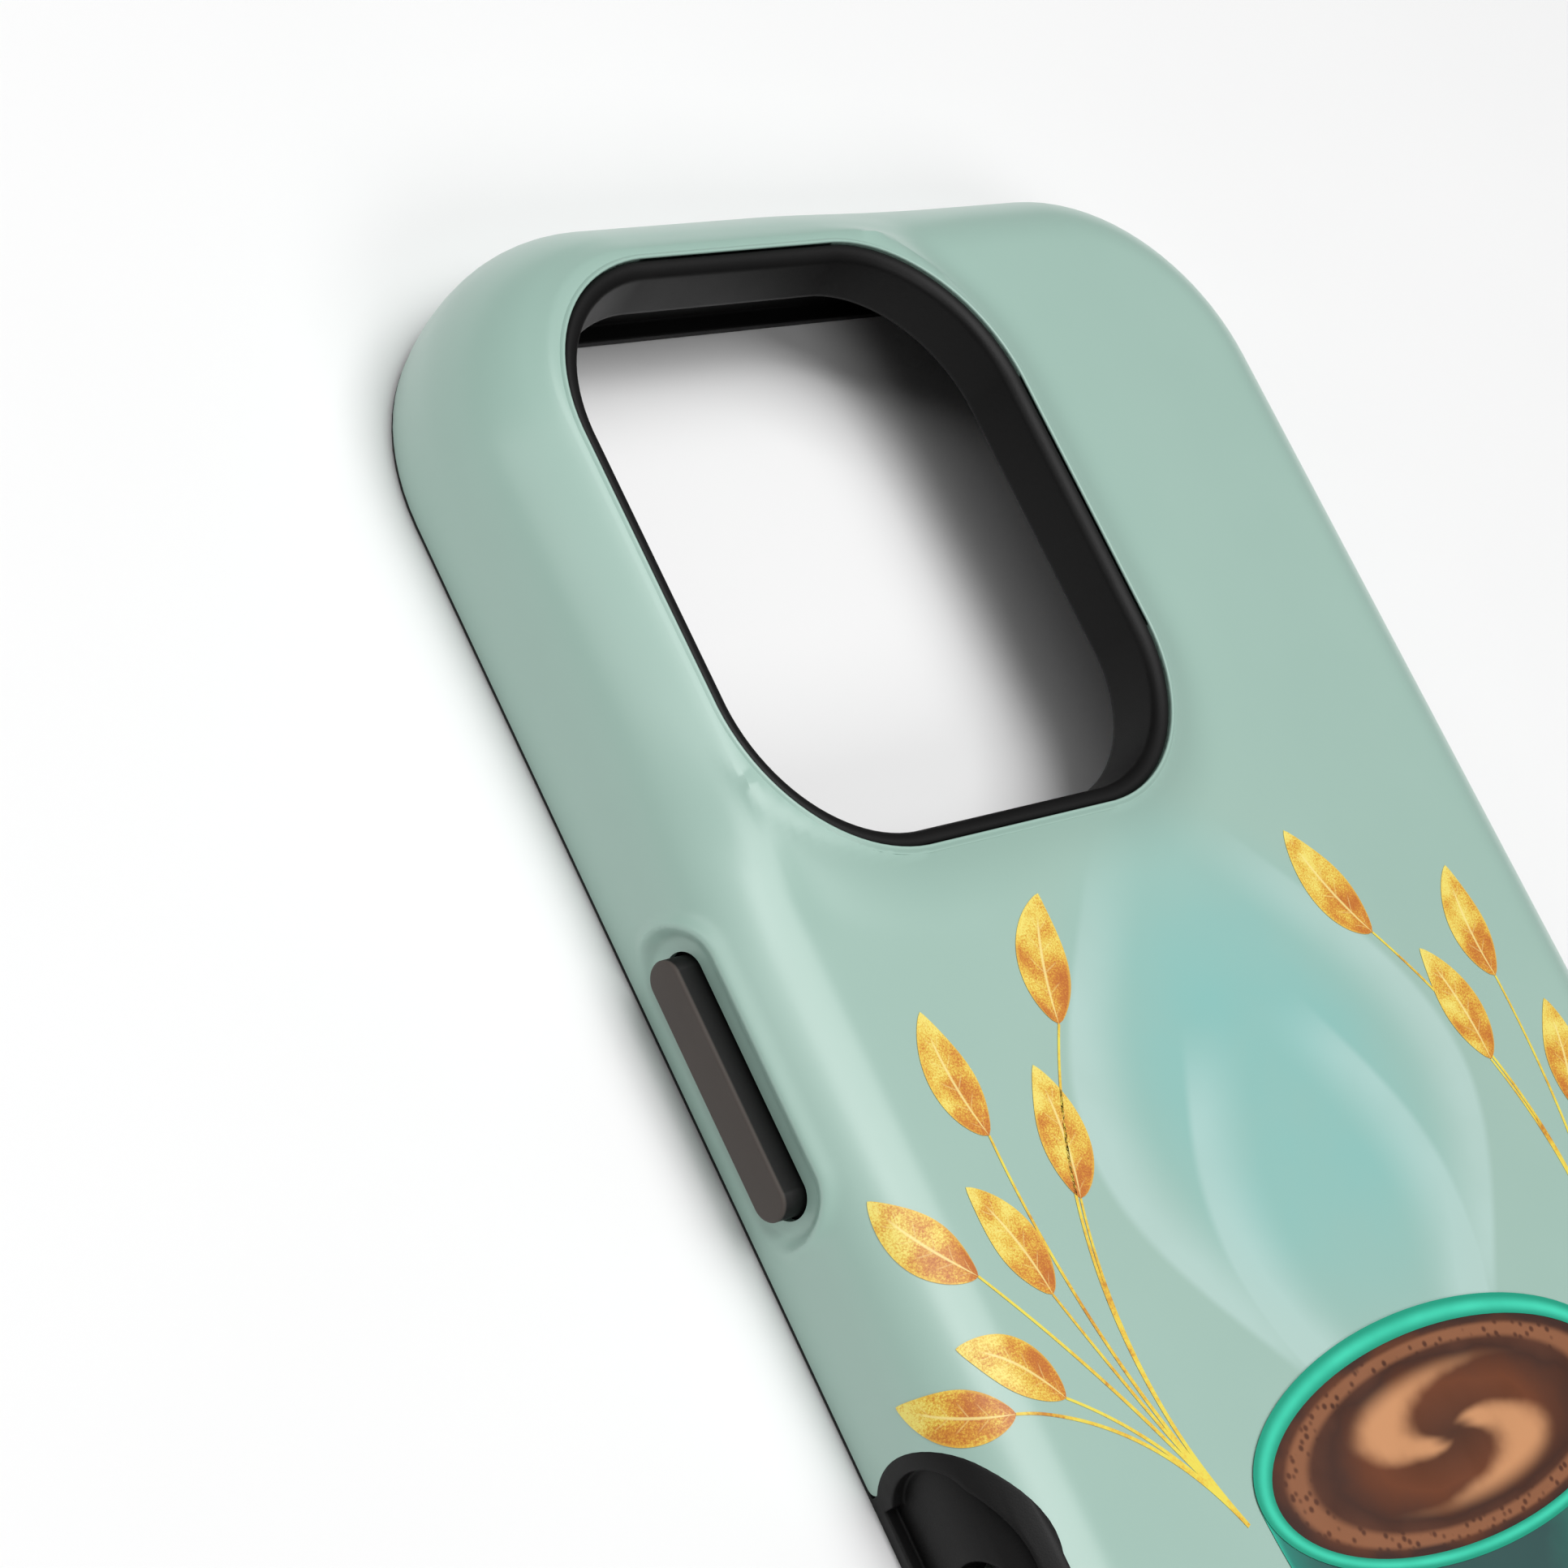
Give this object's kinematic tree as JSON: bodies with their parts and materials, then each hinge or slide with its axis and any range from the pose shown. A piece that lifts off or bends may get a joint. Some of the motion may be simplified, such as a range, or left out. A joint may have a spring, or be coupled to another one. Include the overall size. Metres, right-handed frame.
{
  "type": "phone case",
  "caption": "Two-layer protective phone case: printed hard shell over a soft liner, camera window, touch-control opening, sliding side buttons and a magnet ring.",
  "frame": {"origin": "middle of the case's outline, in the plane of the front rim it lies on", "axes": "+X across the case to the volume-button side, +Y along it to the camera end, +Z out of the printed back"},
  "size_m": [0.0812, 0.1572, 0.0132],
  "materials": {
    "shell_plastic": "satin mint, printed with gold leaves, steam and a cup",
    "liner_rubber": "fine matte black, slightly satin",
    "button_rubber": "matte warm dark grey",
    "magnet_metal": "nickel plated",
    "adhesive_tape": "thin pale double-sided tape",
    "cover_film": "thin white film"
  },
  "bodies": {
    "case_body": {"outer_shell": "shell_plastic", "inner_liner": "liner_rubber", "ring_magnets": "magnet_metal", "alignment_magnets": "magnet_metal", "ring_adhesive": "adhesive_tape", "alignment_adhesive": "adhesive_tape", "ring_cover_film": "cover_film", "alignment_cover_film": "cover_film"},
    "power_button": {"power_button": "button_rubber"},
    "action_button": {"action_button": "button_rubber"},
    "volume_up_button": {"volume_up_button": "button_rubber"},
    "volume_down_button": {"volume_down_button": "button_rubber"}
  },
  "joints": [
    {"name": "power_press", "type": "slide", "parent": "case_body", "child": "power_button", "axis": [1, 0, 0], "range_m": [0, 0.00035], "stiffness_N_per_m": 8000},
    {"name": "action_press", "type": "slide", "parent": "case_body", "child": "action_button", "axis": [-1, 0, 0], "range_m": [0, 0.00035], "stiffness_N_per_m": 8000},
    {"name": "volume_up_press", "type": "slide", "parent": "case_body", "child": "volume_up_button", "axis": [-1, 0, 0], "range_m": [0, 0.00035], "stiffness_N_per_m": 8000},
    {"name": "volume_down_press", "type": "slide", "parent": "case_body", "child": "volume_down_button", "axis": [-1, 0, 0], "range_m": [0, 0.00035], "stiffness_N_per_m": 8000}
  ]
}
